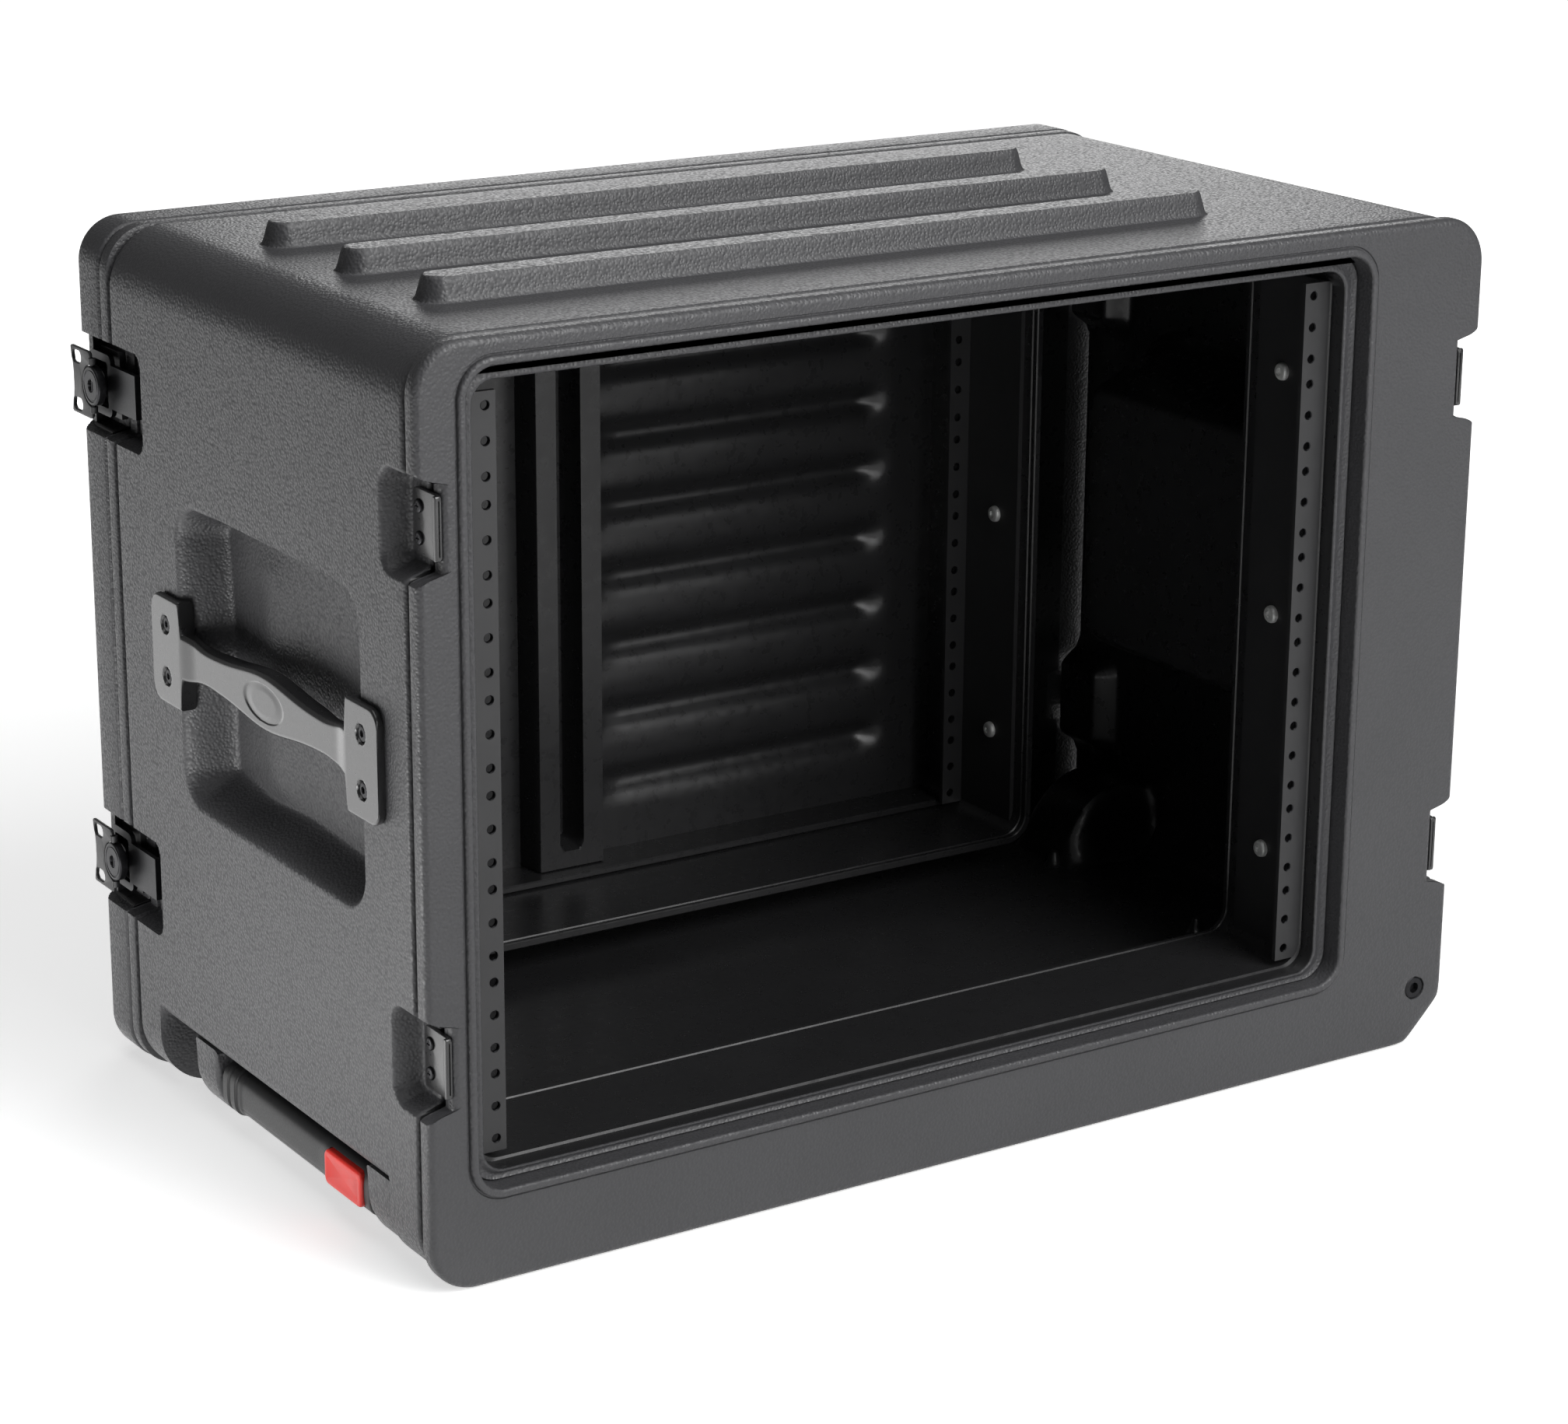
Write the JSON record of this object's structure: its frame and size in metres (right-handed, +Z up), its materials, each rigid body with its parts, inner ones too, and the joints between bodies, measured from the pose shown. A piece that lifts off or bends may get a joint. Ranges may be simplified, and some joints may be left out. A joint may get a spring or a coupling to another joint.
{
  "type": "equipment rack case",
  "caption": "rolling rack case with open front, rails inside, rear lid on twist latches, side handles, a pull-out handle and wheels, for carrying rack gear",
  "frame": {"origin": "centre of the part's outer box, on the ground it stands on", "axes": "X to the right of the case seen from its open front, Y from the front to the rear lid, Z up"},
  "size_m": [0.619, 0.364, 0.4515],
  "materials": {
    "moulded_polyethylene": "fine pebbled charcoal, rotomoulded",
    "black_painted_steel": "satin black powder coat",
    "zinc_screws": "bright zinc plate",
    "black_nylon": "semi-gloss moulded",
    "black_screws": "black oxide",
    "latch_steel": "dark plated",
    "sleeve_aluminium": "mill finish",
    "tube_aluminium": "anodised, satin",
    "grip_plastic": "fine matt",
    "red_plastic": "semi-gloss",
    "spring_steel": "plain",
    "wheel_urethane": "smooth satin",
    "wheel_plastic": "moulded",
    "bearing_steel": "ground",
    "axle_steel": "zinc plate"
  },
  "bodies": {
    "case": {"body_shell": "moulded_polyethylene", "front_frame": "moulded_polyethylene", "rear_frame": "moulded_polyethylene", "rail_front_left": "black_painted_steel", "rail_front_right": "black_painted_steel", "rail_rear_left": "black_painted_steel", "rail_rear_right": "black_painted_steel", "rail_screws": "zinc_screws", "side_handle_left": "black_nylon", "side_handle_right": "black_nylon", "handle_screws": "black_screws", "front_catch_upper_left": "black_nylon", "front_catch_lower_left": "black_nylon", "front_catch_upper_right": "black_nylon", "front_catch_lower_right": "black_nylon", "rear_catch_upper_left": "black_nylon", "rear_catch_lower_left": "black_nylon", "rear_catch_upper_right": "black_nylon", "rear_catch_lower_right": "black_nylon", "catch_screws": "black_screws", "pull_tray": "moulded_polyethylene", "pull_sleeve_front": "sleeve_aluminium", "pull_sleeve_rear": "sleeve_aluminium", "axle_bolts": "axle_steel", "wheel_spacers": "axle_steel"},
    "lid": {"rear_lid": "moulded_polyethylene", "latch_base_upper_left": "black_painted_steel", "latch_base_lower_left": "black_painted_steel", "latch_base_upper_right": "black_painted_steel", "latch_base_lower_right": "black_painted_steel"},
    "hub_upper_left": {"latch_hub_upper_left": "latch_steel"},
    "wing_upper_left": {"latch_wing_upper_left": "black_painted_steel"},
    "hook_upper_left": {"latch_hook_upper_left": "latch_steel"},
    "hub_lower_left": {"latch_hub_lower_left": "latch_steel"},
    "wing_lower_left": {"latch_wing_lower_left": "black_painted_steel"},
    "hook_lower_left": {"latch_hook_lower_left": "latch_steel"},
    "hub_upper_right": {"latch_hub_upper_right": "latch_steel"},
    "wing_upper_right": {"latch_wing_upper_right": "black_painted_steel"},
    "hook_upper_right": {"latch_hook_upper_right": "latch_steel"},
    "hub_lower_right": {"latch_hub_lower_right": "latch_steel"},
    "wing_lower_right": {"latch_wing_lower_right": "black_painted_steel"},
    "hook_lower_right": {"latch_hook_lower_right": "latch_steel"},
    "pull": {"pull_tube_front": "tube_aluminium", "pull_tube_rear": "tube_aluminium", "pull_grip": "grip_plastic", "button_spring": "spring_steel"},
    "button": {"pull_button": "red_plastic"},
    "front_wheel": {"front_wheel_tyre": "wheel_urethane", "front_wheel_hub": "wheel_plastic", "front_wheel_bearings": "bearing_steel"},
    "rear_wheel": {"rear_wheel_tyre": "wheel_urethane", "rear_wheel_hub": "wheel_plastic", "rear_wheel_bearings": "bearing_steel"}
  },
  "joints": [
    {"name": "lid_off", "type": "slide", "parent": "case", "child": "lid", "axis": [0, 1, 0], "range_m": [0, 0.12]},
    {"name": "twist_upper_left", "type": "hinge", "parent": "lid", "child": "hub_upper_left", "pos_m": [-0.3055, 0.1575, 0.3584], "axis": [-1, 0, 0], "range_deg": [0, 180]},
    {"name": "fold_upper_left", "type": "hinge", "parent": "hub_upper_left", "child": "wing_upper_left", "pos_m": [-0.3064, 0.1575, 0.3584], "axis": [0, 0, 1], "range_deg": [0, 100]},
    {"name": "hook_upper_left", "type": "slide", "parent": "lid", "child": "hook_upper_left", "axis": [0, -1, 0], "range_m": [0, 0.008]},
    {"name": "twist_lower_left", "type": "hinge", "parent": "lid", "child": "hub_lower_left", "pos_m": [-0.3055, 0.1575, 0.1096], "axis": [-1, 0, 0], "range_deg": [0, 180]},
    {"name": "fold_lower_left", "type": "hinge", "parent": "hub_lower_left", "child": "wing_lower_left", "pos_m": [-0.3064, 0.1575, 0.1096], "axis": [0, 0, 1], "range_deg": [0, 100]},
    {"name": "hook_lower_left", "type": "slide", "parent": "lid", "child": "hook_lower_left", "axis": [0, -1, 0], "range_m": [0, 0.008]},
    {"name": "twist_upper_right", "type": "hinge", "parent": "lid", "child": "hub_upper_right", "pos_m": [0.2985, 0.1575, 0.3584], "axis": [1, 0, 0], "range_deg": [0, 180]},
    {"name": "fold_upper_right", "type": "hinge", "parent": "hub_upper_right", "child": "wing_upper_right", "pos_m": [0.2994, 0.1575, 0.3584], "axis": [0, 0, -1], "range_deg": [0, 100]},
    {"name": "hook_upper_right", "type": "slide", "parent": "lid", "child": "hook_upper_right", "axis": [0, -1, 0], "range_m": [0, 0.008]},
    {"name": "twist_lower_right", "type": "hinge", "parent": "lid", "child": "hub_lower_right", "pos_m": [0.2985, 0.1575, 0.1096], "axis": [1, 0, 0], "range_deg": [0, 180]},
    {"name": "fold_lower_right", "type": "hinge", "parent": "hub_lower_right", "child": "wing_lower_right", "pos_m": [0.2994, 0.1575, 0.1096], "axis": [0, 0, -1], "range_deg": [0, 100]},
    {"name": "hook_lower_right", "type": "slide", "parent": "lid", "child": "hook_lower_right", "axis": [0, -1, 0], "range_m": [0, 0.008]},
    {"name": "pull_slide", "type": "slide", "parent": "case", "child": "pull", "axis": [-1, 0, 0], "range_m": [0, 0.38]},
    {"name": "button_press", "type": "slide", "parent": "pull", "child": "button", "axis": [1, 0, 0], "range_m": [0, 0.003], "stiffness_N_per_m": 800, "springref_m": -0.002, "deforming": ["button_spring"]},
    {"name": "front_wheel_spin", "type": "hinge", "parent": "case", "child": "front_wheel", "pos_m": [0.2795, -0.1215, 0.031], "axis": [0, 1, 0], "continuous": true},
    {"name": "rear_wheel_spin", "type": "hinge", "parent": "case", "child": "rear_wheel", "pos_m": [0.2795, 0.0895, 0.031], "axis": [0, 1, 0], "continuous": true}
  ],
  "couplings": [
    {"joint": "twist_upper_left", "follows": "hook_upper_left", "rad_per_m": 392.7},
    {"joint": "twist_lower_left", "follows": "hook_lower_left", "rad_per_m": 392.7},
    {"joint": "twist_upper_right", "follows": "hook_upper_right", "rad_per_m": 392.7},
    {"joint": "twist_lower_right", "follows": "hook_lower_right", "rad_per_m": 392.7}
  ]
}
